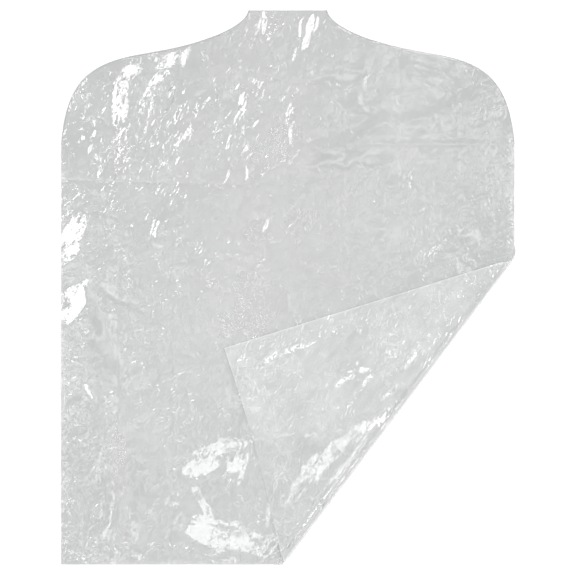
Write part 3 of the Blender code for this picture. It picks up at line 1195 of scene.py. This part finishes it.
class CAPE_OT_weld_beads(bpy.types.Operator):
    """Make the fused beads along the neck and the shoulders."""
    bl_idname = "cape.weld_beads"
    bl_label = "Weld beads"

    def execute(self, context):
        material = bead_material()
        tree, sockets = bead_tree(material)
        radius = shape().bead_radius
        height = 0.5 * (fields()["back"] + fields()["front"])
        edge = BELL.copy()
        edge[:, 0] -= radius
        for name, side in (("left", -1.0), ("right", 1.0)):
            x = edge[:, 0] * side
            z = np.maximum(sample(height, x, edge[:, 1]), radius + LIFT)
            path = np.stack((x, edge[:, 1], z), -1)
            join = np.array([side * (float(half_width_at(COLLAR_JOIN_Y)) - radius), COLLAR_JOIN_Y, 0.0])
            join[2] = max(float(sample(height, join[0], join[1])), radius + LIFT)
            upper = path[path[:, 1] > COLLAR_JOIN_Y]
            lower = path[path[:, 1] <= COLLAR_JOIN_Y]
            neck = swept_bead(f"neck_bead_{name}", np.vstack((upper, join)), tree, sockets)
            bend_at(neck)
            shoulder = swept_bead(f"shoulder_bead_{name}", np.vstack((join, lower)), tree, sockets)
            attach(shoulder, "yoke")
            for bead, weld in ((neck, f"neck_weld_{name}"), (shoulder, f"shoulder_weld_{name}")):
                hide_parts(weld)
        return {"FINISHED"}


class CAPE_OT_stage(bpy.types.Operator):
    """Make the pale floor, the soft boxes, the surround and the camera."""
    bl_idname = "cape.stage"
    bl_label = "Stage"

    def execute(self, context):
        scene = context.scene
        corners = FLOOR_REACH * np.array([(-1.0, -1.0, 0.0), (1.0, -1.0, 0.0), (1.0, 1.0, 0.0),
                                          (-1.0, 1.0, 0.0)])
        floor = new_object("floor", corners, np.array([[0, 1, 2, 3]]))
        floor.data.materials.append(floor_material())
        for name, (place, size, radiance, spin) in LIGHTS.items():
            light = bpy.data.lights.new(name + "_softbox", "AREA")
            light.shape = "RECTANGLE"
            light.size, light.size_y = size
            light.energy = radiance * math.pi * size[0] * size[1]
            lamp = bpy.data.objects.new(name + "_softbox", light)
            lamp.location = place
            aim = (-Vector(place)).to_track_quat("-Z", "Y")
            turn = Quaternion((0.0, 0.0, 1.0), math.radians(spin))
            lamp.rotation_euler = (aim @ turn).to_euler()
            lamp.visible_camera = False
            bpy.context.collection.objects.link(lamp)
        world = bpy.data.worlds.new("surround")
        world.use_nodes = True
        surround = world.node_tree.nodes["Background"]
        surround.inputs["Color"].default_value = (1.0, 1.0, 1.0, 1.0)
        surround.inputs["Strength"].default_value = look().sky_strength
        scene.world = world
        camera = bpy.data.cameras.new("overhead")
        camera.sensor_width = SENSOR_WIDTH
        camera.lens = SENSOR_WIDTH * CAMERA_PLACE[2] / FRAME_WIDTH
        camera.clip_end = 100.0
        view = bpy.data.objects.new("overhead", camera)
        view.location = CAMERA_PLACE
        bpy.context.collection.objects.link(view)
        scene.camera = view
        scene.view_settings.view_transform = "Standard"
        return {"FINISHED"}


class CAPE_PT_panel(bpy.types.Panel):
    """The cape's settings and the steps that make it."""
    bl_idname = "CAPE_PT_panel"
    bl_label = "Disposable cape"
    bl_space_type = "VIEW_3D"
    bl_region_type = "UI"
    bl_category = "Cape"

    def draw(self, context):
        for group in (context.scene.cape_shape, context.scene.film_look):
            box = self.layout.box()
            for name in group.__annotations__:
                box.prop(group, name)
        for operator in STEPS:
            self.layout.operator(operator.bl_idname)


STEPS = (
    CAPE_OT_stage,
    CAPE_OT_skirt_films,
    CAPE_OT_yoke_films,
    CAPE_OT_collar_films,
    CAPE_OT_corner_films,
    CAPE_OT_weld_beads,
)
CLASSES = (CapeShape, FilmLook, *STEPS, CAPE_PT_panel)


def register():
    """Add the classes and the scene's settings."""
    for item in CLASSES:
        bpy.utils.register_class(item)
    bpy.types.Scene.cape_shape = bpy.props.PointerProperty(type=CapeShape)
    bpy.types.Scene.film_look = bpy.props.PointerProperty(type=FilmLook)


def unregister():
    """Take the classes and the settings away again."""
    del bpy.types.Scene.film_look
    del bpy.types.Scene.cape_shape
    for item in reversed(CLASSES):
        bpy.utils.unregister_class(item)


def main():
    """Make every piece in order."""
    register()
    for operator in STEPS:
        group, name = operator.bl_idname.split(".")
        getattr(getattr(bpy.ops, group), name)()


if __name__ == "__main__":
    main()
